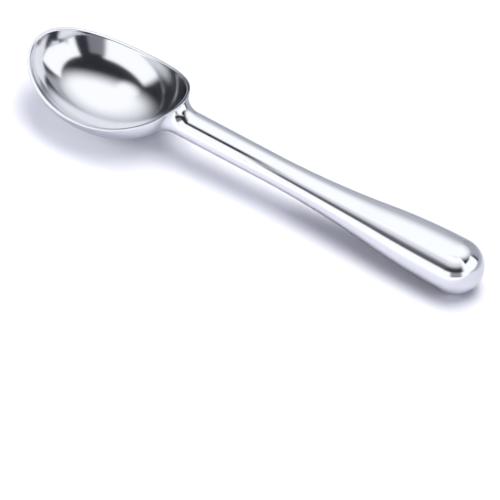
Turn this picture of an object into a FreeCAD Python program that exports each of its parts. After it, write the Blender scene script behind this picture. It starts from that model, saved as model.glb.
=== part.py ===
import FreeCAD, Part
import math
import os

# Ice cream scoop: one metal casting, with an insert in the back of its handle.
# Millimetres. The scoop is drawn along X, with the bowl's widest section at 0, the handle towards +X and the
# axis of the neck on the X axis. Then it is laid down as it rests, on the bowl's bottom and the handle's end.

# Bowl: part of an egg, two half ellipsoids that share the widest section
BOWL_TIP_LENGTH = 31.1
BOWL_NECK_LENGTH = 33.0
BOWL_HALF_WIDTH = 24.6
# Depth of the egg below its middle, and the level of that middle above the axis of the neck
BOWL_DEPTH = 25.5
BOWL_MIDDLE_LEVEL = 7.6
LIP_WALL = 1.2
FLOOR_WALL = 2.0

# Rim: a hollow arc seen from the side, so that both ends of the bowl stand higher than its middle
RIM_RADIUS = 65.0
RIM_LOW_LEVEL = -2.35
RIM_LOW_X = -2.2
RIM_CHAMFER = 0.3

# Neck, and the hollow curve that joins it to the back of the bowl
NECK_RADIUS = 5.4
NECK_LENGTH = 38.8
NECK_BLEND = 6.5

# Handle: its outline curves outwards from the neck, then levels off, and it ends in half a ball
HOLLOW_LENGTH = 49.0
FULL_LENGTH = 32.4
BULB_RADIUS = 10.3
HOLLOW_ARCS = 3
FULL_ARCS = 2

# Insert: a teardrop, flush with the back of the handle. Its ends are as wide as a share of the handle there
INLAY_START = 10.5
INLAY_END_MARGIN = 8.0
INLAY_SHARE = 0.84
INLAY_EDGE_DEPTH = 1.2
INLAY_FIT = 0.1

# Places along the scoop
BACK_X = BOWL_NECK_LENGTH
NECK_ROOT_X = BACK_X / 2
SWELL_X = BACK_X + NECK_LENGTH
BULB_X = SWELL_X + HOLLOW_LENGTH + FULL_LENGTH
END_X = BULB_X + BULB_RADIUS
# Slope of the handle's outline where the hollow curve passes into the full one
SWELL_SLOPE = 2 * math.atan((BULB_RADIUS - NECK_RADIUS) / (HOLLOW_LENGTH + FULL_LENGTH))
HOLLOW_RADIUS = HOLLOW_LENGTH / math.sin(SWELL_SLOPE)
FULL_RADIUS = FULL_LENGTH / math.sin(SWELL_SLOPE)
# How closely a point has to lie on a surface to count as part of it
NEAR = 0.001


def vec(x, y, z):
    return FreeCAD.Vector(x, y, z)


def stretched(shape, x_factor, y_factor, z_factor):
    """The shape scaled by its own factor along each axis."""
    matrix = FreeCAD.Matrix()
    matrix.A11 = x_factor
    matrix.A22 = y_factor
    matrix.A33 = z_factor
    return shape.transformGeometry(matrix)


def edges_along(shape, distance_off):
    """The edges whose ends and middle all lie where distance_off is nothing."""
    found = []
    for edge in shape.Edges:
        if edge.Degenerated:
            continue
        first, last = edge.ParameterRange
        points = [edge.valueAt(place) for place in (first, (first + last) / 2, last)]
        if max(abs(distance_off(point)) for point in points) < NEAR:
            found.append(edge)
    return found


# Bowl

def half_egg(length, half_width_there, depth):
    """The end of the egg towards the tip, from the widest section on."""
    half = Part.makeBox(1, 2, 2, vec(-1, -1, -1))
    ball = Part.makeSphere(1, vec(0, 0, 0), vec(0, 1, 0))
    end = stretched(ball.common(half), length, half_width_there, depth)
    end.translate(vec(0, 0, BOWL_MIDDLE_LEVEL))
    return end


def turned(end):
    """The same end of the egg, facing the neck."""
    return end.rotated(vec(0, 0, 0), vec(0, 0, 1), 180)


def bowl_hollow():
    """What is scooped out of the egg: a smaller egg, closer to it at the rim than at the bottom."""
    half_width_inside = BOWL_HALF_WIDTH - LIP_WALL
    depth_inside = BOWL_DEPTH - FLOOR_WALL
    tip = half_egg(BOWL_TIP_LENGTH - LIP_WALL, half_width_inside, depth_inside)
    back = half_egg(BOWL_NECK_LENGTH - LIP_WALL, half_width_inside, depth_inside)
    return tip.fuse(turned(back))


def above_rim():
    """All that stands above the rim: the inside of a cylinder that lies across the bowl."""
    start = vec(RIM_LOW_X, -2 * BOWL_HALF_WIDTH, RIM_LOW_LEVEL + RIM_RADIUS)
    return Part.makeCylinder(RIM_RADIUS, 4 * BOWL_HALF_WIDTH, start, vec(0, 1, 0))


def off_rim(point):
    """How far a point is from the cylinder that cuts the rim."""
    return math.hypot(point.x - RIM_LOW_X, point.z - RIM_LOW_LEVEL - RIM_RADIUS) - RIM_RADIUS


# Neck and handle

def radius_at(x):
    """Radius of the handle where it swells."""
    if x < SWELL_X + HOLLOW_LENGTH:
        return NECK_RADIUS + HOLLOW_RADIUS - math.sqrt(HOLLOW_RADIUS ** 2 - (x - SWELL_X) ** 2)
    return BULB_RADIUS - FULL_RADIUS + math.sqrt(FULL_RADIUS ** 2 - (BULB_X - x) ** 2)


def neck():
    """The round neck, from inside the bowl to where the handle swells."""
    return Part.makeCylinder(NECK_RADIUS, SWELL_X - NECK_ROOT_X, vec(NECK_ROOT_X, 0, 0), vec(1, 0, 0))


def off_neck(point):
    """How far a point is from the surface of the neck, where the neck meets the back of the bowl."""
    beyond_bowl = max(point.x - BACK_X, 0)
    return beyond_bowl + abs(math.hypot(point.y, point.z) - NECK_RADIUS)


def outline_arcs(start_x, end_x, count):
    """One curve of the handle's outline, as a few arcs of the same circle: meshes of short faces are more even."""
    length = (end_x - start_x) / count
    arcs = []
    for number in range(count):
        first_x = start_x + number * length
        points = [vec(x, 0, radius_at(x)) for x in (first_x, first_x + length / 2, first_x + length)]
        arcs.append(Part.Arc(*points).toShape())
    return arcs


def handle():
    """The swelling handle and its rounded end, turned about the axis of the neck."""
    passing_x = SWELL_X + HOLLOW_LENGTH
    hollow = outline_arcs(SWELL_X, passing_x, HOLLOW_ARCS)
    full = outline_arcs(passing_x, BULB_X, FULL_ARCS)
    on_ball = BULB_RADIUS * math.sqrt(0.5)
    half_ball = Part.Arc(vec(BULB_X, 0, BULB_RADIUS), vec(BULB_X + on_ball, 0, on_ball), vec(END_X, 0, 0))
    axis = Part.makeLine(vec(END_X, 0, 0), vec(SWELL_X, 0, 0))
    front = Part.makeLine(vec(SWELL_X, 0, 0), vec(SWELL_X, 0, NECK_RADIUS))
    outline = Part.Wire([front] + hollow + full + [half_ball.toShape(), axis])
    return Part.Face(outline).revolve(vec(0, 0, 0), vec(1, 0, 0), 360)


# Insert and its pocket

def edge_level(x):
    """Level of the insert's edge: where a share of the handle's width meets its back."""
    return -radius_at(x) * math.sqrt(1 - INLAY_SHARE ** 2)


def above_floor():
    """All that lies above the flat floor of the pocket, which slopes with the edges of the insert."""
    first_floor = edge_level(SWELL_X) + INLAY_EDGE_DEPTH
    last_floor = edge_level(BULB_X) + INLAY_EDGE_DEPTH
    slope = (last_floor - first_floor) / (BULB_X - SWELL_X)
    end_floor = first_floor + slope * (END_X - SWELL_X)
    y = -2 * BULB_RADIUS
    side = Part.makePolygon([vec(SWELL_X, y, first_floor), vec(END_X, y, end_floor), vec(END_X, y, BULB_RADIUS),
                             vec(SWELL_X, y, BULB_RADIUS), vec(SWELL_X, y, first_floor)])
    return Part.Face(side).extrude(vec(0, 4 * BULB_RADIUS, 0))


def teardrop(inset):
    """The room for the insert, smaller by inset all round: two arcs and the straight lines that touch both."""
    front_radius = INLAY_SHARE * radius_at(SWELL_X + INLAY_START) - inset
    rear_radius = INLAY_SHARE * BULB_RADIUS - inset
    front_x = SWELL_X + INLAY_START + inset + front_radius
    rear_x = END_X - INLAY_END_MARGIN - inset - rear_radius
    lean = math.asin((rear_radius - front_radius) / (rear_x - front_x))
    corners = []
    for x, radius in ((front_x, front_radius), (rear_x, rear_radius)):
        touch_x = x - radius * math.sin(lean)
        corners.append((vec(touch_x, radius * math.cos(lean), 0), vec(touch_x, -radius * math.cos(lean), 0)))
    (front_left, front_right), (rear_left, rear_right) = corners
    front = Part.Arc(front_right, vec(front_x - front_radius, 0, 0), front_left).toShape()
    rear = Part.Arc(rear_left, vec(rear_x + rear_radius, 0, 0), rear_right).toShape()
    left = Part.makeLine(front_left, rear_left)
    right = Part.makeLine(rear_right, front_right)
    outline = Part.Wire([front, left, rear, right])
    return Part.Face(outline).extrude(vec(0, 0, -2 * BULB_RADIUS)).cut(above_floor())


def scoop_body():
    """The casting: bowl, neck and handle in one, with the pocket for the insert."""
    back = turned(half_egg(BOWL_NECK_LENGTH, BOWL_HALF_WIDTH, BOWL_DEPTH))
    tip = half_egg(BOWL_TIP_LENGTH, BOWL_HALF_WIDTH, BOWL_DEPTH)
    back_and_neck = back.fuse(neck())
    blended = back_and_neck.makeFillet(NECK_BLEND, edges_along(back_and_neck, off_neck))
    solid = blended.fuse([tip, handle()])
    open_bowl = solid.cut(bowl_hollow()).cut(above_rim())
    eased = open_bowl.makeChamfer(RIM_CHAMFER, edges_along(open_bowl, off_rim))
    return eased.cut(teardrop(0))


def grip_inlay():
    """The insert: it fills the pocket up to the surface of the handle, but for a fine gap around it."""
    return handle().common(teardrop(INLAY_FIT))


# Rest: the scoop lies on two points, under the bowl and under the end of the handle

def lowest(centre_x, centre_z, half_length, height, tilt):
    """Level of the lowest point of an ellipsoid once the scoop is tilted."""
    centre_level = centre_z * math.cos(tilt) - centre_x * math.sin(tilt)
    return centre_level - math.hypot(half_length * math.sin(tilt), height * math.cos(tilt))


def bowl_low(tilt):
    return lowest(0, BOWL_MIDDLE_LEVEL, BOWL_NECK_LENGTH, BOWL_DEPTH, tilt)


def handle_low(tilt):
    return lowest(BULB_X, 0, BULB_RADIUS, BULB_RADIUS, tilt)


def rest_tilt():
    """The tilt, end of the handle down, at which bowl and handle touch the floor together."""
    less, more = -math.pi / 4, math.pi / 4
    while more - less > 1e-12:
        tilt = (less + more) / 2
        if handle_low(tilt) > bowl_low(tilt):
            less = tilt
        else:
            more = tilt
    return less


def laid_down(shapes):
    """The shapes as they rest, with the origin on the floor under the middle of the scoop."""
    tilt = rest_tilt()
    for shape in shapes:
        shape.rotate(vec(0, 0, 0), vec(0, 1, 0), math.degrees(tilt))
    box = shapes[0].optimalBoundingBox(False)
    shift = vec(-box.Center.x, 0, -bowl_low(tilt))
    for shape in shapes:
        shape.translate(shift)
    print("tilt", round(math.degrees(tilt), 4), "shift", [round(value, 4) for value in shift])
    return shapes


def main():
    os.makedirs("parts", exist_ok=True)
    body, inlay = laid_down([scoop_body(), grip_inlay()])
    for name, shape in (("scoop_body", body), ("grip_inlay", inlay)):
        print(name, shape.isValid(), len(shape.Solids), len(shape.Faces), round(shape.Volume, 1))
        shape.exportStep("parts/" + name + ".step")


main()
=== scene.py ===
import math

import bpy
import numpy as np
from bpy.props import FloatProperty, FloatVectorProperty, IntProperty, PointerProperty
from bpy.types import Operator, Panel, PropertyGroup
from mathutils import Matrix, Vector


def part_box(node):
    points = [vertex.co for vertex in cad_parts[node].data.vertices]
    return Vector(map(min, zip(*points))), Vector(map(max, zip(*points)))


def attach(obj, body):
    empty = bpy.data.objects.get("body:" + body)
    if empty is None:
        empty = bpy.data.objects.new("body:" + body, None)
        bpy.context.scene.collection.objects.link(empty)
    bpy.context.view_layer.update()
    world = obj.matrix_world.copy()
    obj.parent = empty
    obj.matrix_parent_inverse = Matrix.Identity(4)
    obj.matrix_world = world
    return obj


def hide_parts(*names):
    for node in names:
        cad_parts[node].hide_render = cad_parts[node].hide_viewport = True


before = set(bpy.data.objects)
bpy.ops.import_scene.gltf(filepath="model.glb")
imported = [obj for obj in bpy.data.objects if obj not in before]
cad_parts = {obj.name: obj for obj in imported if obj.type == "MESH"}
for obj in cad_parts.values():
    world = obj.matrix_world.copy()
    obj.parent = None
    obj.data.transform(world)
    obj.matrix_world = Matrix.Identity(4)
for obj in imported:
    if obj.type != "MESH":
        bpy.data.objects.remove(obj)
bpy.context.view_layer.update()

bl_info = {
    "name": "Ice cream scoop",
    "version": (1, 0, 0),
    "blender": (4, 5, 0),
    "location": "3D View > Sidebar > Scoop",
    "description": "Builds a cast metal ice cream scoop with a black insert in its handle",
    "category": "Add Mesh",
}

BODY = "root"
MM = 0.001

# How finely the skins are divided
END_LOOPS = 24  # over the half ball at the handle's end
HANDLE_LOOPS = 66  # from there to where the handle begins to swell
NECK_LOOPS = 12  # from there along the plain neck
BOWL_LOOPS = 110  # from there over the outside of the bowl to its rim
EDGE_STEPS = 5  # round each edge of the rim
HOLLOW_LOOPS = 60  # from the rim to the bottom of the hollow
PATH_STEPS = 400  # along each stretch of the fine paths that the bowl's loops are spread on
POCKET_STATIONS = 90  # along the pocket
INSERT_STATIONS = 150  # along the insert
INSERT_ROWS = 65  # across the insert
HALVINGS = 60  # of a range, in search of a place in it


def length(name, text, default):
    """A size that a user would change. Its default is in millimetres."""
    return FloatProperty(name=name, description=text, default=default * MM, unit="LENGTH", subtype="DISTANCE",
                         precision=5)


# Sizes and finishes that a user would change


class BowlSizes(PropertyGroup):
    tip_length: length("Tip length", "From the widest section of the bowl to its tip", 31.1)
    neck_length: length("Neck side length", "From the widest section of the bowl to its back", 33.0)
    half_width: length("Half width", "Half the width of the bowl's egg shape", 24.6)
    depth: length("Depth", "Depth of the egg shape below its middle", 25.5)
    middle_level: length("Middle level", "Level of the egg's middle above the axis of the neck", 7.6)
    lip_wall: length("Lip wall", "Thickness of the wall at the rim", 1.2)
    floor_wall: length("Floor wall", "Thickness of the wall at the bottom", 2.0)
    rim_radius: length("Rim radius", "Radius of the hollow arc of the rim, seen from the side", 65.0)
    rim_low_level: length("Rim low level", "Lowest level of the rim above the axis of the neck", -2.35)
    rim_low_x: length("Rim low place", "Place of the rim's lowest point along the scoop", -2.2)
    rim_rounding: length("Rim rounding", "How far the rounding of the rim's two edges reaches", 0.45)


class HandleSizes(PropertyGroup):
    neck_radius: length("Neck radius", "Radius of the round neck", 5.4)
    neck_length: length("Neck length", "From the back of the bowl to where the handle swells", 38.8)
    neck_blend: length("Neck blend", "Radius of the hollow curve between bowl and neck", 6.5)
    hollow_length: length("Hollow length", "Length over which the handle's outline curves outwards", 49.0)
    full_length: length("Full length", "Length over which the handle's outline levels off", 32.4)
    bulb_radius: length("Bulb radius", "Radius of the thick end of the handle", 10.3)


class InsertSizes(PropertyGroup):
    start: length("Start", "From where the handle swells to the front of the insert", 10.5)
    end_margin: length("End margin", "From the back of the insert to the end of the handle", 8.0)
    share: FloatProperty(name="Share", description="Width of the insert as a share of the handle's", default=0.84,
                         subtype="FACTOR", min=0.1, max=0.95)
    edge_depth: length("Edge depth", "Depth of the pocket at the insert's edge", 1.2)
    fit: length("Fit", "Gap between the insert and its pocket", 0.1)
    rounding: length("Rounding", "Radius of the insert's edge", 0.45)


class Finish(PropertyGroup):
    metal: FloatVectorProperty(name="Metal", description="Colour of the cast metal", default=(0.78, 0.79, 0.82),
                               subtype="COLOR", size=3, min=0, max=1)
    metal_roughness: FloatProperty(name="Metal roughness", description="How dull the polish of the metal is",
                                   default=0.12, subtype="FACTOR", min=0, max=1)
    rubber: FloatVectorProperty(name="Rubber", description="Colour of the insert", default=(0.014, 0.014, 0.016),
                                subtype="COLOR", size=3, min=0, max=1)
    rubber_roughness: FloatProperty(name="Rubber roughness", description="How dull the insert is", default=0.62,
                                    subtype="FACTOR", min=0, max=1)


class StageSettings(PropertyGroup):
    azimuth: FloatProperty(name="Azimuth", description="Angle of the camera round the scoop",
                           default=math.radians(35.2), subtype="ANGLE", unit="ROTATION")
    elevation: FloatProperty(name="Elevation", description="Angle of the camera above the floor",
                             default=math.radians(43.9), subtype="ANGLE", unit="ROTATION")
    distance: FloatProperty(name="Distance", description="Distance of the camera", default=4.0, unit="LENGTH",
                            subtype="DISTANCE")
    frame_width: FloatProperty(name="Frame width", description="Width of what the camera sees at the scoop",
                               default=0.1794, unit="LENGTH", subtype="DISTANCE", precision=4)
    across: FloatProperty(name="Across", description="Place of the scoop's middle to the right of the frame's middle",
                          default=0.00224, unit="LENGTH", subtype="DISTANCE", precision=4)
    upwards: FloatProperty(name="Upwards", description="Place of the scoop's middle above the frame's middle",
                           default=0.02166, unit="LENGTH", subtype="DISTANCE", precision=4)
    key_power: FloatProperty(name="Key power", description="Power of the large lamp overhead", default=8.8,
                             unit="POWER")
    side_power: FloatProperty(name="Side power", description="Power of the lamp beside the bowl", default=1.2,
                              unit="POWER")


class ScoopSettings(PropertyGroup):
    bowl: PointerProperty(type=BowlSizes, name="Bowl", description="Sizes of the bowl")
    handle: PointerProperty(type=HandleSizes, name="Handle", description="Sizes of neck and handle")
    insert: PointerProperty(type=InsertSizes, name="Insert", description="Sizes of the insert")
    finish: PointerProperty(type=Finish, name="Finish", description="Colours and polish")
    stage: PointerProperty(type=StageSettings, name="Stage", description="Camera and lamps")
    around: IntProperty(name="Points around", description="Points in each loop around the scoop", default=160,
                        min=32, max=400)


# Shapes. The scoop is worked out along X, with the bowl's widest section at 0 and the axis of the neck on the X
# axis, and then laid down on the floor.


class Bowl:
    """The egg that the bowl's skin is a part of, and the arc of its rim."""

    def __init__(self, sizes):
        self.middle = sizes.middle_level
        self.width = sizes.half_width
        self.depth = sizes.depth
        self.tip = sizes.tip_length
        self.back = sizes.neck_length
        self.rim_radius = sizes.rim_radius
        self.rim_x = sizes.rim_low_x
        self.rim_z = sizes.rim_low_level + sizes.rim_radius
        self.rounding = sizes.rim_rounding

    def hollow(self, lip, floor):
        """The egg inside a wall of the given thickness at the lip and at the floor."""
        inner = Bowl.__new__(Bowl)
        inner.__dict__.update(self.__dict__)
        inner.width = self.width - lip
        inner.depth = self.depth - floor
        inner.tip = self.tip - lip
        inner.back = self.back - lip
        return inner

    def to_ball(self, points):
        """The egg's points as points of a ball of radius 1."""
        x = points[..., 0]
        long = np.where(x > 0, self.back, self.tip)
        return np.stack([x / long, points[..., 1] / self.width, (points[..., 2] - self.middle) / self.depth], -1)

    def from_ball(self, points):
        """Points of the ball as points of the egg."""
        x = points[..., 0]
        long = np.where(x > 0, self.back, self.tip)
        return np.stack([x * long, points[..., 1] * self.width, points[..., 2] * self.depth + self.middle], -1)

    def below_rim(self, points):
        """How far points are below the rim: nothing on it, less than nothing above it."""
        return np.hypot(points[..., 0] - self.rim_x, points[..., 2] - self.rim_z) - self.rim_radius

    def onto_rim(self, points):
        """Points moved onto the arc of the rim."""
        x = points[..., 0] - self.rim_x
        z = points[..., 2] - self.rim_z
        scale = self.rim_radius / np.hypot(x, z)
        return np.stack([x * scale + self.rim_x, points[..., 1], z * scale + self.rim_z], -1)


class Handle:
    """The outline of neck and handle, turned about the X axis: an arc that curves outwards, one that levels off,
    and half a ball."""

    def __init__(self, sizes, bowl):
        self.neck = sizes.neck_radius
        self.blend = sizes.neck_blend
        self.bulb = sizes.bulb_radius
        self.swell_x = bowl.back + sizes.neck_length
        self.passing_x = self.swell_x + sizes.hollow_length
        self.bulb_x = self.passing_x + sizes.full_length
        self.end_x = self.bulb_x + self.bulb
        slope = 2 * math.atan((self.bulb - self.neck) / (sizes.hollow_length + sizes.full_length))
        self.hollow_radius = sizes.hollow_length / math.sin(slope)
        self.full_radius = sizes.full_length / math.sin(slope)

    def radius(self, x):
        """Radius of the handle at places along it."""
        hollow = self.neck + self.hollow_radius
        hollow = hollow - np.sqrt(self.hollow_radius ** 2 - np.clip(x - self.swell_x, 0, None) ** 2)
        full = self.bulb - self.full_radius + np.sqrt(self.full_radius ** 2 - np.clip(self.bulb_x - x, 0, None) ** 2)
        end = np.sqrt(np.clip(self.bulb ** 2 - (x - self.bulb_x) ** 2, 0, None))
        return np.where(x < self.passing_x, hollow, np.where(x < self.bulb_x, full, end))


class Insert:
    """The teardrop outline of the insert and its pocket: two arcs and the straight lines that touch both."""

    def __init__(self, sizes, handle, inset):
        self.handle = handle
        self.share = sizes.share
        front = float(handle.radius(np.array(handle.swell_x + sizes.start)))
        self.front_radius = sizes.share * front - inset
        self.rear_radius = sizes.share * handle.bulb - inset
        self.front_x = handle.swell_x + sizes.start + inset + self.front_radius
        self.rear_x = handle.end_x - sizes.end_margin - inset - self.rear_radius
        self.lean = math.asin((self.rear_radius - self.front_radius) / (self.rear_x - self.front_x))
        first = self.edge_level(handle.swell_x) + sizes.edge_depth
        last = self.edge_level(handle.bulb_x) + sizes.edge_depth
        self.floor_slope = (last - first) / (handle.bulb_x - handle.swell_x)
        self.floor_start = first

    def edge_level(self, x):
        """Level of the handle's skin at the insert's edge."""
        return -float(self.handle.radius(np.array(x))) * math.sqrt(1 - self.share ** 2)

    def floor(self, x):
        """Level of the pocket's flat floor."""
        return self.floor_start + self.floor_slope * (x - self.handle.swell_x)

    def stations(self, count):
        """Places along the insert, closer together near its ends, and its half width at each."""
        turn = np.linspace(0, math.pi, count)
        middle = (self.front_x - self.front_radius + self.rear_x + self.rear_radius) / 2
        half = self.rear_x + self.rear_radius - middle
        x = middle - half * np.cos(turn)
        line = (self.front_radius + (x - self.front_x) * math.sin(self.lean)) / math.cos(self.lean)
        front = np.sqrt(np.clip(self.front_radius ** 2 - (x - self.front_x) ** 2, 0, None))
        rear = np.sqrt(np.clip(self.rear_radius ** 2 - (x - self.rear_x) ** 2, 0, None))
        width = np.where(x < self.front_x - self.front_radius * math.sin(self.lean), front, line)
        width = np.where(x > self.rear_x - self.rear_radius * math.sin(self.lean), rear, width)
        return x, width

    def inside(self, x, y):
        """How far points are inside the outline."""
        sine, cosine = math.sin(self.lean), math.cos(self.lean)
        off_x = x - self.front_x + self.front_radius * sine
        off_y = np.abs(y) - self.front_radius * cosine
        along = off_x * cosine + off_y * sine
        reach = (self.rear_x - self.front_x) * cosine
        side = off_x * sine - off_y * cosine
        front = self.front_radius - np.hypot(x - self.front_x, y)
        rear = self.rear_radius - np.hypot(x - self.rear_x, y)
        return np.clip(np.where(along < 0, front, np.where(along > reach, rear, side)), 0, None)

    def outline(self, count):
        """The outline as one loop of points, as x and y."""
        x, width = self.stations(count)
        return np.concatenate([np.stack([x, width], -1), np.stack([x, -width], -1)[-2:0:-1]])


def slerp(first, last, share):
    """Points on the way round the ball from first to last, whose directions have length 1."""
    angle = np.arccos(np.clip((first * last).sum(-1), -1, 1))[..., None]
    sine = np.maximum(np.sin(angle), 1e-9)
    return (np.sin((1 - share) * angle) * first + np.sin(share * angle) * last) / sine


def nearest_on_egg(bowl, points):
    """The nearest point of the back of the egg to points outside it."""
    axes = np.array([bowl.back, bowl.width, bowl.depth]) ** 2
    moved = points - np.array([0, 0, bowl.middle])
    low = np.full(len(points), -0.5 * axes.min())
    high = np.full(len(points), axes.max())
    for _ in range(HALVINGS):
        middle = (low + high) / 2
        outside = (axes * moved ** 2 / (middle[:, None] + axes) ** 2).sum(-1) > 1
        low = np.where(outside, middle, low)
        high = np.where(outside, high, middle)
    return axes * moved / (low[:, None] + axes) + np.array([0, 0, bowl.middle])


def blend_ball(bowl, handle, around):
    """A ball rolled into the corner between bowl and neck: its centres, and where it touches the bowl."""
    reach = handle.neck + handle.blend
    inside_bowl, beyond_bowl = 0.7 * bowl.back, bowl.back + 3 * handle.blend
    low = np.full(len(around), inside_bowl)
    high = np.full(len(around), beyond_bowl)
    for _ in range(HALVINGS):
        middle = (low + high) / 2
        centres = np.stack([middle, reach * np.sin(around), reach * np.cos(around)], -1)
        touch = nearest_on_egg(bowl, centres)
        clear = np.linalg.norm(centres - touch, axis=-1) > handle.blend
        high = np.where(clear, middle, high)
        low = np.where(clear, low, middle)
    return centres, touch


def evenly_spread(line, count, short_by=0.0):
    """Points spread evenly along a line of points, which may stop short of its end."""
    along = np.concatenate([[0], np.cumsum(np.linalg.norm(np.diff(line, axis=0), axis=1))])
    wanted = np.linspace(0, along[-1] - short_by, count)
    return np.stack([np.interp(wanted, along, line[:, axis]) for axis in range(3)], -1)


def outer_loops(bowl, handle, around, start_x):
    """Loops of points from the neck over the outside of the bowl up to its rim."""
    centres, touch = blend_ball(bowl, handle, around)
    outwards = np.stack([np.zeros_like(around), np.sin(around), np.cos(around)], -1)
    share = np.linspace(0, 1, PATH_STEPS)[:, None, None]
    on_neck = np.array([1.0, 0, 0]) * (start_x + (centres[:, :1] - start_x) * share) + outwards * handle.neck
    to_bowl = (touch - centres) / handle.blend
    on_blend = centres + handle.blend * slerp(-outwards, to_bowl, share)
    beyond = np.stack([np.cos(around), np.sin(around), np.zeros_like(around)], -1)
    on_bowl = bowl.from_ball(slerp(bowl.to_ball(touch), beyond, share))
    paths = np.concatenate([on_neck, on_blend[1:], on_bowl[1:]])
    below = bowl.below_rim(paths)
    loops = np.empty((BOWL_LOOPS + 1, len(around), 3))
    for number in range(len(around)):
        line = paths[:, number]
        depth = below[:, number]
        last = int(np.argmax(depth < 0))
        cut = depth[last - 1] / (depth[last - 1] - depth[last])
        end = line[last - 1] + cut * (line[last] - line[last - 1])
        loops[:, number] = evenly_spread(np.vstack([line[:last], end]), BOWL_LOOPS + 1)
    return loops


def across_rim(bowl, inner, outer_loop):
    """The inner edge of the rim, straight across the wall from each point of the outer edge."""
    tangent = np.roll(outer_loop, -1, 0) - np.roll(outer_loop, 1, 0)
    up = np.stack([bowl.rim_x - outer_loop[:, 0], np.zeros(len(outer_loop)), bowl.rim_z - outer_loop[:, 2]], -1)
    inwards = np.cross(up, tangent)
    inwards /= np.linalg.norm(inwards, axis=1)[:, None]
    centre = outer_loop.mean(0)
    inwards *= np.sign(((centre - outer_loop) * inwards).sum(1))[:, None]
    widest_rim = 6 * MM
    low = np.zeros(len(outer_loop))
    high = np.full(len(outer_loop), widest_rim)
    for _ in range(HALVINGS):
        middle = (low + high) / 2
        points = bowl.onto_rim(outer_loop + inwards * middle[:, None])
        outside = np.linalg.norm(inner.to_ball(points), axis=1) > 1
        low = np.where(outside, middle, low)
        high = np.where(outside, high, middle)
    return points


def rounded(before, corner, after):
    """A rounding from before to after, round the corner."""
    share = np.linspace(0, 1, EDGE_STEPS + 1)[:, None, None]
    return (1 - share) ** 2 * before + 2 * share * (1 - share) * corner + share ** 2 * after


def trimmed(loops, reach):
    """The loops drawn together along their lines, so that the last one stops short of its place by reach."""
    lines = [evenly_spread(loops[:, number], len(loops), reach) for number in range(loops.shape[1])]
    return np.stack(lines, 1)


def body_loops(settings):
    """The casting's loops, from the end of the handle round the rim to the bottom of the hollow, with the two
    points that close them."""
    bowl = Bowl(settings.bowl)
    inner = bowl.hollow(settings.bowl.lip_wall, settings.bowl.floor_wall)
    handle = Handle(settings.handle, bowl)
    around = np.linspace(0, 2 * math.pi, settings.around, endpoint=False)
    turned = np.stack([np.zeros_like(around), np.sin(around), np.cos(around)], -1)
    before_bowl = bowl.back + 15 * MM
    turns = np.linspace(0.5 * math.pi, 0, END_LOOPS + 1)[-2:0:-1]
    end = [(handle.bulb_x + handle.bulb * math.cos(turn), handle.bulb * math.sin(turn)) for turn in turns]
    swelling = np.linspace(handle.bulb_x, handle.swell_x, HANDLE_LOOPS)
    plain = np.linspace(handle.swell_x, before_bowl, NECK_LOOPS)[1:-1]
    side = [(x, float(handle.radius(np.array(x)))) for x in np.concatenate([swelling, plain])]
    stem = np.array([[x, 0, 0] + turned * radius for x, radius in end + side])
    outside = outer_loops(bowl, handle, around, before_bowl)
    outer_edge = outside[-1]
    inner_edge = across_rim(bowl, inner, outer_edge)
    reach = bowl.rounding
    # The rim's outer edge is the sharper one, so its rounding reaches further down the skin.
    outside = trimmed(outside, 2.4 * reach)
    pole = np.array([[0.0, 0.0, -1.0]])
    inner_ball = inner.to_ball(inner_edge)
    inner_ball /= np.linalg.norm(inner_ball, axis=1)[:, None]
    share = np.linspace(1, 0, HOLLOW_LOOPS + 1)[:-1, None, None]
    inside = inner.from_ball(slerp(np.repeat(pole, len(around), 0), inner_ball, share))
    inside = trimmed(inside[::-1], reach)[::-1]
    across = inner_edge - outer_edge
    across /= np.linalg.norm(across, axis=1)[:, None]
    outer_turn = rounded(outside[-1], outer_edge, outer_edge + across * reach)[1:]
    inner_turn = rounded(inner_edge - across * reach, inner_edge, inside[0])[:-1]
    bottom = inner.from_ball(pole)[0]
    loops = np.concatenate([stem, outside, outer_turn, inner_turn, inside])
    return loops, np.array([handle.end_x, 0, 0]), bottom, bowl, handle


def rest_place(bowl, handle):
    """The tilt at which bowl and handle touch the floor together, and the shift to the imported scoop's place."""
    def lowest(centre_x, centre_z, long, high, tilt):
        level = centre_z * math.cos(tilt) - centre_x * math.sin(tilt)
        return level - math.hypot(long * math.sin(tilt), high * math.cos(tilt))

    steepest = 0.7
    less, more = -steepest, steepest
    for _ in range(HALVINGS):
        tilt = (less + more) / 2
        bowl_low = lowest(0, bowl.middle, bowl.back, bowl.depth, tilt)
        if lowest(handle.bulb_x, 0, handle.bulb, handle.bulb, tilt) > bowl_low:
            less = tilt
        else:
            more = tilt
    cad_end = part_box("scoop_body")[1].x
    end = handle.bulb_x * math.cos(tilt) + handle.bulb
    return tilt, np.array([cad_end - end, 0, -bowl_low])


def laid_down(points, place):
    """Points as the scoop rests."""
    tilt, shift = place
    x, y, z = np.moveaxis(np.asarray(points, float), -1, 0)
    cosine, sine = math.cos(tilt), math.sin(tilt)
    return np.stack([x * cosine + z * sine, y, z * cosine - x * sine], -1) + shift


def stood_back(points, place):
    """Points of the resting scoop as it was before it was laid down."""
    tilt, shift = place
    x, y, z = np.moveaxis(points - shift, -1, 0)
    cosine, sine = math.cos(tilt), math.sin(tilt)
    return x * cosine - z * sine, y, x * sine + z * cosine


def mesh_piece(name, points, faces):
    """A new mesh object from points in metres and faces."""
    mesh = bpy.data.meshes.new(name)
    mesh.from_pydata([tuple(point) for point in points], [], faces)
    mesh.validate()
    mesh.shade_smooth()
    piece = bpy.data.objects.new(name, mesh)
    bpy.context.scene.collection.objects.link(piece)
    return piece


def strip_faces(loops, count):
    """Faces between neighbouring loops of count points."""
    faces = []
    for loop in range(loops - 1):
        for number in range(count):
            a = loop * count + number
            b = loop * count + (number + 1) % count
            faces.append((a, b, b + count, a + count))
    return faces


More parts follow.
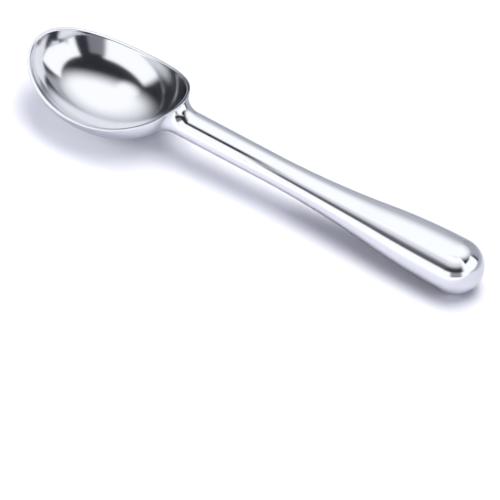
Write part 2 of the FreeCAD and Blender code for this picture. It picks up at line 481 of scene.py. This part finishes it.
def pocket_cutter(shape, place):
    """A solid that fills the pocket and reaches out of the handle's back."""
    outline = shape.outline(POCKET_STATIONS)[::-1]
    count = len(outline)
    below_handle = -1.3 * shape.handle.bulb
    lower = np.column_stack([outline, np.full(count, below_handle)])
    upper = np.column_stack([outline, shape.floor(outline[:, 0])])
    faces = strip_faces(2, count) + [tuple(range(count))[::-1], tuple(range(count, 2 * count))]
    return mesh_piece("pocket_cutter", laid_down(np.concatenate([lower, upper]), place), faces)


def cut_out(piece, cutter):
    """Cut the cutter out of the piece, and remove the cutter."""
    cut = piece.modifiers.new("pocket", "BOOLEAN")
    cut.operation = "DIFFERENCE"
    cut.solver = "EXACT"
    cut.object = cutter
    graph = bpy.context.evaluated_depsgraph_get()
    mesh = bpy.data.meshes.new_from_object(piece.evaluated_get(graph))
    piece.modifiers.clear()
    old = piece.data
    piece.data = mesh
    mesh.name = piece.name
    bpy.data.meshes.remove(old)
    bpy.data.objects.remove(cutter)


def shade_round_pocket(piece, handle, place):
    """Keep the handle's skin evenly round up to the pocket's edge, and the pocket's own faces flat."""
    mesh = piece.data
    points = np.empty(len(mesh.vertices) * 3)
    mesh.vertices.foreach_get("co", points)
    x, y, z = stood_back(points.reshape(-1, 3), place)
    margin = 0.03 * MM
    on_skin = np.abs(np.hypot(y, z) - handle.radius(x)) < margin
    step = 0.1 * MM
    slope = (handle.radius(x + step) - handle.radius(x - step)) / (2 * step)
    slope = np.where(x > handle.bulb_x, 0, slope)
    off_stem = np.stack([-slope * np.hypot(y, z), y, z], -1)
    off_ball = np.stack([x - handle.bulb_x, y, z], -1)
    outwards = np.where((x > handle.bulb_x)[:, None], off_ball, off_stem)
    outwards /= np.maximum(np.linalg.norm(outwards, axis=1), 1e-9)[:, None]
    tilt, _ = place
    normals = laid_down(outwards, (tilt, 0.0))
    chosen = np.zeros((len(mesh.loops), 3))
    well_before_pocket = handle.swell_x - 10 * MM
    along_skin = 0.8
    for face in mesh.polygons:
        if x[face.vertices[0]] < well_before_pocket:
            continue
        facing = float(np.dot(normals[face.vertices[0]], face.normal))
        if on_skin[list(face.vertices)].all() and facing > along_skin:
            for loop in face.loop_indices:
                chosen[loop] = normals[mesh.loops[loop].vertex_index]
        else:
            face.use_smooth = False
    mesh.normals_split_custom_set([tuple(normal) for normal in chosen])


def insert_mesh(settings):
    """Points and faces of the insert: its skin with a rounded edge, its side and its flat underside."""
    bowl = Bowl(settings.bowl)
    handle = Handle(settings.handle, bowl)
    shape = Insert(settings.insert, handle, settings.insert.fit)
    x, width = shape.stations(INSERT_STATIONS)
    x, width = x[1:-1], width[1:-1]
    rows = np.sin(np.linspace(-0.5, 0.5, INSERT_ROWS) * math.pi)
    grid_x = np.repeat(x[:, None], len(rows), 1)
    grid_y = width[:, None] * rows[None, :]
    radius = handle.radius(grid_x)
    skin = -np.sqrt(radius ** 2 - grid_y ** 2)
    edge = settings.insert.rounding
    inwards = np.clip(edge - shape.inside(grid_x, grid_y), 0, edge)
    skin = skin + edge - np.sqrt(edge ** 2 - inwards ** 2)
    top = np.stack([grid_x, grid_y, skin], -1).reshape(-1, 3)
    under = np.stack([grid_x, grid_y, shape.floor(grid_x) - settings.insert.fit], -1).reshape(-1, 3)
    total = len(x) * INSERT_ROWS
    faces = []
    for station in range(len(x) - 1):
        near = station * INSERT_ROWS
        far = near + INSERT_ROWS - 1
        for a in range(near, far):
            b = a + INSERT_ROWS
            faces.append((a, a + 1, b + 1, b))
            faces.append((total + a, total + b, total + b + 1, total + a + 1))
        faces.append((near, near + INSERT_ROWS, total + near + INSERT_ROWS, total + near))
        faces.append((far, total + far, total + far + INSERT_ROWS, far + INSERT_ROWS))
    for row in range(INSERT_ROWS - 1):
        last = (len(x) - 1) * INSERT_ROWS + row
        faces.append((row, total + row, total + row + 1, row + 1))
        faces.append((last, last + 1, total + last + 1, total + last))
    return laid_down(np.concatenate([top, under]), rest_place(bowl, handle)), faces


# Nodes


def new_material(name):
    """A new material, with its nodes, its links and its main shader."""
    material = bpy.data.materials.new(name)
    material.use_nodes = True
    nodes = material.node_tree.nodes
    return material, nodes, material.node_tree.links, nodes["Principled BSDF"]


def coordinates(nodes, links, kind):
    """X, Y and Z of the coordinates of one kind, each on its own."""
    parts = nodes.new("ShaderNodeSeparateXYZ")
    links.new(nodes.new("ShaderNodeTexCoord").outputs[kind], parts.inputs["Vector"])
    return parts.outputs["X"], parts.outputs["Y"], parts.outputs["Z"]


def noise(nodes, links, place, scale, detail):
    """Cloudy noise. Its scale is in clouds to the metre."""
    clouds = nodes.new("ShaderNodeTexNoise")
    clouds.inputs["Scale"].default_value = scale
    clouds.inputs["Detail"].default_value = detail
    links.new(place, clouds.inputs["Vector"])
    return clouds.outputs["Fac"]


def uneven_roughness(nodes, links, shader, clouds, least, most):
    """Roughness that follows the noise, from least to most."""
    spread = nodes.new("ShaderNodeMapRange")
    spread.inputs["To Min"].default_value = least
    spread.inputs["To Max"].default_value = most
    links.new(clouds, spread.inputs["Value"])
    links.new(spread.outputs["Result"], shader.inputs["Roughness"])


def bumps(nodes, links, shader, clouds, strength):
    """Bumps that follow the noise."""
    bump = nodes.new("ShaderNodeBump")
    bump.inputs["Strength"].default_value = strength
    bump.inputs["Distance"].default_value = 0.2 * MM
    links.new(clouds, bump.inputs["Height"])
    links.new(bump.outputs["Normal"], shader.inputs["Normal"])


def blend_in(nodes, links, base, colour, mask):
    """Base, with the colour laid over it where the mask is 1. Either may be plain or worked out."""
    mix = nodes.new("ShaderNodeMix")
    mix.data_type = "RGBA"
    for name, value in (("A", base), ("B", colour)):
        if isinstance(value, tuple):
            mix.inputs[name].default_value = (*value, 1)
        else:
            links.new(value, mix.inputs[name])
    links.new(mask, mix.inputs["Factor"])
    return mix.outputs["Result"]


def sums(nodes, links, operation, *values):
    """One sum of the values, any of which may be a number."""
    node = nodes.new("ShaderNodeMath")
    node.operation = operation
    for socket, value in zip(node.inputs, values):
        if isinstance(value, (int, float)):
            socket.default_value = value
        else:
            links.new(value, socket)
    return node.outputs["Value"]


def ramped(nodes, links, value, start, end):
    """0 below start and 1 above end, with a soft change between."""
    ramp = nodes.new("ShaderNodeMapRange")
    ramp.interpolation_type = "SMOOTHSTEP"
    ramp.inputs["From Min"].default_value = start
    ramp.inputs["From Max"].default_value = end
    links.new(value, ramp.inputs["Value"])
    return ramp.outputs["Result"]


def window(nodes, links, value, low, high, soft):
    """1 between low and high, with soft edges."""
    rise = ramped(nodes, links, value, low - soft, low + soft)
    fall = ramped(nodes, links, value, high - soft, high + soft)
    return sums(nodes, links, "MULTIPLY", rise, sums(nodes, links, "SUBTRACT", 1.0, fall))


def patch(nodes, links, direction, towards, edge, core):
    """1 close round a direction and 0 away from it. Edge and core are cosines of the angle from it."""
    total = 0.0
    for part, share in zip(direction, Vector(towards).normalized()):
        total = sums(nodes, links, "MULTIPLY_ADD", part, share, total)
    return ramped(nodes, links, total, edge, core)


# Materials


def cast_metal(finish):
    """Polished casting: bright, with the faint unevenness and fine hairlines that polishing leaves."""
    material, nodes, links, shader = new_material("cast_metal")
    shader.inputs["Metallic"].default_value = 1.0
    shader.inputs["Base Color"].default_value = (*finish.metal, 1)
    place = nodes.new("ShaderNodeTexCoord").outputs["Object"]
    clouds = noise(nodes, links, place, scale=60, detail=4)
    dullness = finish.metal_roughness
    uneven_roughness(nodes, links, shader, clouds, least=dullness - 0.03, most=dullness + 0.04)
    stretch = nodes.new("ShaderNodeMapping")
    stretch.inputs["Scale"].default_value = (90, 1400, 1400)
    links.new(place, stretch.inputs["Vector"])
    hairlines = noise(nodes, links, stretch.outputs["Vector"], scale=1, detail=3)
    bumps(nodes, links, shader, hairlines, strength=0.02)
    return material


def rubber(finish):
    """Matte black rubber with a fine moulded grain."""
    material, nodes, links, shader = new_material("grip_black")
    shader.inputs["Base Color"].default_value = (*finish.rubber, 1)
    shader.inputs["Specular IOR Level"].default_value = 0.4
    place = nodes.new("ShaderNodeTexCoord").outputs["Object"]
    grain = noise(nodes, links, place, scale=2600, detail=3)
    dullness = finish.rubber_roughness
    uneven_roughness(nodes, links, shader, grain, least=dullness - 0.06, most=dullness + 0.1)
    bumps(nodes, links, shader, grain, strength=0.35)
    return material


# Pieces


class SCOOP_OT_casting(Operator):
    """Build the cast metal body: bowl, neck and handle in one smooth skin"""
    bl_idname = "scoop.casting"
    bl_label = "Casting"

    def execute(self, context):
        settings = context.scene.scoop
        loops, end, bottom, bowl, handle = body_loops(settings)
        place = rest_place(bowl, handle)
        count = loops.shape[1]
        points = np.concatenate([loops.reshape(-1, 3), [end, bottom]])
        faces = strip_faces(len(loops), count)
        end_point = len(loops) * count
        bottom_point = end_point + 1
        last = (len(loops) - 1) * count
        for number in range(count):
            after = (number + 1) % count
            faces.append((end_point, after, number))
            faces.append((bottom_point, last + number, last + after))
        piece = mesh_piece("casting", laid_down(points, place), faces)
        cut_out(piece, pocket_cutter(Insert(settings.insert, handle, 0.0), place))
        shade_round_pocket(piece, handle, place)
        piece.data.materials.append(cast_metal(settings.finish))
        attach(piece, BODY)
        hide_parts("scoop_body")
        return {"FINISHED"}


class SCOOP_OT_insert(Operator):
    """Build the black insert that fills the pocket in the back of the handle"""
    bl_idname = "scoop.insert"
    bl_label = "Insert"

    def execute(self, context):
        settings = context.scene.scoop
        points, faces = insert_mesh(settings)
        piece = mesh_piece("insert", points, faces)
        piece.data.materials.append(rubber(settings.finish))
        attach(piece, BODY)
        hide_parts("grip_inlay")
        return {"FINISHED"}


# Stage. The metal gives back about four fifths of what it mirrors, so the white that it mirrors is more than 1.

WHITE = (1.24, 1.25, 1.27)
LOW_TENT = (0.56, 0.58, 0.62)
DARK_ROOM = (0.03, 0.03, 0.04)
SHADOW_TINT = (0.19, 0.20, 0.30)

# From, to and softness round the scoop, bottom and top above the floor, all in degrees, and the colour
SOFT_BOXES = (
    (-143, -72, 6, -8, 38, WHITE),
    (-72, -50, 3, -20, 33, (0.24, 0.24, 0.27)),
    (-31, 48, 3, -25, 38, WHITE),
    (58, 106, 7, -30, 30, (0.45, 0.46, 0.50)),
)
SOFT_BOX_EDGE = 2.5

FLOOR = (0.8, 0.8, 0.8)
FLOOR_TO_CAMERA = (1.0, 1.0, 1.0)
# The floor as the metal mirrors it: white in front of the scoop, with painted shade under it and behind it, and a
# painted glow in front
MIRRORED_FRONT = (1.0, 1.0, 1.0)
MIRRORED_PAINTED_SHADE_UNDER = (0.80, 0.80, 0.82)
MIRRORED_PAINTED_SHADE_BEHIND = (0.42, 0.43, 0.47)
MIRRORED_PAINTED_GLOW = (0.2, 0.2, 0.2)

# Glowing tones of the card that only the metal mirrors: painted reflections of the dark and pale bands on the handle
# and its end
CARD_STAND = (0.35, 0.35, 0.38)
CARD_DARK = (0.13, 0.13, 0.15)
CARD_END_DARK = (0.05, 0.05, 0.06)
CARD_PALE = (0.86, 0.88, 0.92)


def softbox(name, spot, aim, width, height, power, colour):
    """A large soft lamp that faces aim, and that the metal doesn't mirror."""
    lamp = bpy.data.lights.new(name, "AREA")
    lamp.shape = "RECTANGLE"
    lamp.size = width
    lamp.size_y = height
    lamp.energy = power
    lamp.color = colour
    holder = bpy.data.objects.new(name, lamp)
    holder.location = spot
    holder.rotation_euler = (Vector(aim) - Vector(spot)).to_track_quat("-Z", "Y").to_euler()
    holder.visible_glossy = False
    bpy.context.scene.collection.objects.link(holder)


def floor_material():
    """Plain white floor. The metal mirrors it bright in front of the scoop, with a painted glow there, and darker
    under and behind it, by painted shade.
    """
    material, nodes, links, shader = new_material("floor")
    shader.inputs["Roughness"].default_value = 0.9
    shader.inputs["Specular IOR Level"].default_value = 0.0
    path = nodes.new("ShaderNodeLightPath")
    _, y, _ = coordinates(nodes, links, "Object")
    # Painted shade in the metal's reflection: the floor it mirrors is darker under the scoop and behind it
    under = ramped(nodes, links, y, start=-0.07, end=-0.015)
    behind = ramped(nodes, links, y, start=0.02, end=0.06)
    mirrored = blend_in(nodes, links, MIRRORED_FRONT, MIRRORED_PAINTED_SHADE_UNDER, under)
    mirrored = blend_in(nodes, links, mirrored, MIRRORED_PAINTED_SHADE_BEHIND, behind)
    tone = blend_in(nodes, links, FLOOR, FLOOR_TO_CAMERA, path.outputs["Is Camera Ray"])
    tone = blend_in(nodes, links, tone, mirrored, path.outputs["Is Glossy Ray"])
    links.new(tone, shader.inputs["Base Color"])
    # Painted glow in the metal's reflection: an emission in front of the scoop that only glossy rays see
    front = sums(nodes, links, "SUBTRACT", 1.0, ramped(nodes, links, y, start=-0.07, end=-0.02))
    front = sums(nodes, links, "MULTIPLY", front, path.outputs["Is Glossy Ray"])
    links.new(blend_in(nodes, links, (0.0, 0.0, 0.0), MIRRORED_PAINTED_GLOW, front), shader.inputs["Emission Color"])
    shader.inputs["Emission Strength"].default_value = 1.0
    return material


def studio_world():
    """The room round the scoop, white to the camera. The metal mirrors a glow overhead and a pale wall, soft boxes
    low down, and the dark of the room between them."""
    world = bpy.data.worlds.new("studio")
    world.use_nodes = True
    nodes, links = world.node_tree.nodes, world.node_tree.links
    direction = coordinates(nodes, links, "Generated")
    x, y, z = direction
    around = sums(nodes, links, "DEGREES", sums(nodes, links, "ARCTAN2", y, x))
    above = sums(nodes, links, "DEGREES", sums(nodes, links, "ARCSINE", z))
    tent = blend_in(nodes, links, LOW_TENT, WHITE, ramped(nodes, links, above, start=18, end=60))
    overhead = patch(nodes, links, direction, towards=(-0.23, 0.47, 0.86), edge=0.48, core=0.83)
    over_card = patch(nodes, links, direction, towards=(-0.42, -0.20, 0.89), edge=0.93, core=0.99)
    wall = window(nodes, links, around, low=108, high=128, soft=7)
    lit = sums(nodes, links, "MAXIMUM", overhead, over_card)
    lit = sums(nodes, links, "MAXIMUM", lit, wall)
    room = blend_in(nodes, links, DARK_ROOM, tent, lit)
    for low, high, soft, bottom, top, colour in SOFT_BOXES:
        across = window(nodes, links, around, low, high, soft)
        upright = window(nodes, links, above, bottom, top, SOFT_BOX_EDGE)
        room = blend_in(nodes, links, room, colour, sums(nodes, links, "MULTIPLY", across, upright))
    path = nodes.new("ShaderNodeLightPath")
    tone = blend_in(nodes, links, SHADOW_TINT, (1.0, 1.0, 1.0), path.outputs["Is Camera Ray"])
    tone = blend_in(nodes, links, tone, room, path.outputs["Is Glossy Ray"])
    links.new(tone, nodes["Background"].inputs["Color"])
    nodes["Background"].inputs["Strength"].default_value = 1.0
    bpy.context.scene.world = world


def card_columns():
    """The card's columns, from the neck to the handle's end and round it. Each has its place along the card, its x
    and y, the level where its shades start, the height of one measure of them, and how many measures it goes up."""
    beside_neck = np.array([0.0, -0.043, -0.015, 0.0215, 0.0161, 1.6])
    beside_end = np.array([1.0, 0.082, -0.0265, 0.0193, 0.0280, 3.0])
    straight_columns, turned_columns = 24, 16
    for number in range(straight_columns + 1):
        share = number / straight_columns
        along, x, y, level, measure, top = beside_neck * (1 - share) + beside_end * share
        # Near the neck the shades stand higher, in line with the dark that the neck mirrors without the card.
        yield along, x, y, level + 0.018 * max(0, 1 - share / 0.6) ** 2, measure, top
    turn_x, turn_radius, first_turn, step = 0.0867, 0.027, -100, 5.5
    for number in range(1, turned_columns + 1):
        turn = math.radians(first_turn + step * number)
        x, y = turn_x + turn_radius * math.cos(turn), turn_radius * math.sin(turn)
        yield 1 + number / turned_columns, x, y, *beside_end[3:]


def card_material():
    """The card's glowing shades, a painted reflection for the metal, by what its UV map holds: the place along the
    card and the level. It is dark low down and pale above, and towards the neck it fades out."""
    material, nodes, links, shader = new_material("handle_reflection_card")
    nodes.remove(shader)
    along, level, _ = coordinates(nodes, links, "UV")
    stand = window(nodes, links, along, low=1.3, high=1.72, soft=0.07)
    round_end = ramped(nodes, links, along, start=0.9, end=1.2)
    dark = blend_in(nodes, links, CARD_DARK, CARD_END_DARK, round_end)
    tone = blend_in(nodes, links, WHITE, CARD_STAND, stand)
    tone = blend_in(nodes, links, tone, dark, ramped(nodes, links, level, start=-0.03, end=0.08))
    tone = blend_in(nodes, links, tone, CARD_PALE, ramped(nodes, links, level, start=0.2, end=0.62))
    tone = blend_in(nodes, links, tone, WHITE, ramped(nodes, links, level, start=0.6, end=1.2))
    tone = blend_in(nodes, links, tone, WHITE, ramped(nodes, links, along, start=1.72, end=1.9))
    glow = nodes.new("ShaderNodeEmission")
    links.new(tone, glow.inputs["Color"])
    clear = nodes.new("ShaderNodeBsdfTransparent")
    fade = nodes.new("ShaderNodeMixShader")
    links.new(ramped(nodes, links, along, start=0.22, end=0.42), fade.inputs["Fac"])
    links.new(clear.outputs["BSDF"], fade.inputs[1])
    links.new(glow.outputs["Emission"], fade.inputs[2])
    links.new(fade.outputs["Shader"], nodes["Material Output"].inputs["Surface"])
    return material


def handle_reflection_card():
    """A narrow glowing card beside the handle and round its end, seen by nothing but the metal: its shades are
    painted reflections of dark and pale bands. It stands closer to the neck than to the thick end, and its shades
    keep in step with that."""
    bottom = -0.25
    points, shades = [], []
    for along, x, y, level, measure, top in card_columns():
        points += [(x, y, level + bottom * measure), (x, y, level + top * measure)]
        shades += [(along, bottom), (along, top)]
    faces = [(first, first + 2, first + 3, first + 1) for first in range(0, len(points) - 2, 2)]
    card = mesh_piece("handle_reflection_card", points, faces)
    uv_map = card.data.uv_layers.new(name="shades")
    for loop in card.data.loops:
        uv_map.data[loop.index].uv = shades[loop.vertex_index]
    card.visible_camera = False
    card.visible_diffuse = False
    card.visible_shadow = False
    card.visible_transmission = False
    card.data.materials.append(card_material())


def camera(stage):
    """The camera, at the angle and with the framing of the picture."""
    azimuth, elevation = stage.azimuth, stage.elevation
    right = Vector((math.cos(azimuth), math.sin(azimuth), 0))
    up = Vector((-math.sin(azimuth) * math.sin(elevation), math.cos(azimuth) * math.sin(elevation),
                 math.cos(elevation)))
    back = right.cross(up)
    data = bpy.data.cameras.new("camera")
    data.sensor_width = 36
    data.lens = data.sensor_width * stage.distance / stage.frame_width
    data.clip_end = 100
    holder = bpy.data.objects.new("camera", data)
    holder.location = back * stage.distance - right * stage.across - up * stage.upwards
    holder.rotation_euler = back.to_track_quat("Z", "Y").to_euler()
    bpy.context.scene.collection.objects.link(holder)
    bpy.context.scene.camera = holder


class SCOOP_OT_stage(Operator):
    """Set up the floor, the soft lamps, the room and the card that the metal mirrors, and the camera"""
    bl_idname = "scoop.stage"
    bl_label = "Stage"

    def execute(self, context):
        stage = context.scene.scoop.stage
        half = 3.0
        corner_points = [(-half, -half, 0), (half, -half, 0), (half, half, 0), (-half, half, 0)]
        floor = mesh_piece("floor", corner_points, [(0, 1, 2, 3)])
        floor.data.materials.append(floor_material())
        softbox("key", spot=(0.12, 0.18, 0.9), aim=(0, 0, 0), width=0.85, height=0.6, power=stage.key_power,
                colour=(1, 1, 1))
        softbox("side", spot=(-0.32, -0.25, 0.14), aim=(-0.06, 0, 0), width=0.3, height=0.2, power=stage.side_power,
                colour=(0.95, 0.95, 1.0))
        studio_world()
        handle_reflection_card()
        camera(stage)
        context.scene.view_settings.view_transform = "Standard"
        return {"FINISHED"}


class SCOOP_PT_sidebar(Panel):
    """Sizes, finishes and the steps that build the scoop"""
    bl_idname = "SCOOP_PT_sidebar"
    bl_label = "Ice cream scoop"
    bl_space_type = "VIEW_3D"
    bl_region_type = "UI"
    bl_category = "Scoop"

    def draw(self, context):
        settings = context.scene.scoop
        for group in (settings.bowl, settings.handle, settings.insert, settings.finish, settings.stage):
            box = self.layout.box()
            for name in group.__annotations__:
                box.prop(group, name)
        self.layout.prop(settings, "around")
        for step in STEPS:
            self.layout.operator(step.bl_idname)


GROUPS = (BowlSizes, HandleSizes, InsertSizes, Finish, StageSettings, ScoopSettings)
STEPS = (SCOOP_OT_casting, SCOOP_OT_insert, SCOOP_OT_stage)


def register():
    for kind in GROUPS + STEPS + (SCOOP_PT_sidebar,):
        bpy.utils.register_class(kind)
    bpy.types.Scene.scoop = PointerProperty(type=ScoopSettings)


def unregister():
    del bpy.types.Scene.scoop
    for kind in reversed(GROUPS + STEPS + (SCOOP_PT_sidebar,)):
        bpy.utils.unregister_class(kind)


def main():
    register()
    bpy.ops.scoop.casting()
    bpy.ops.scoop.insert()
    bpy.ops.scoop.stage()


if __name__ == "__main__":
    main()
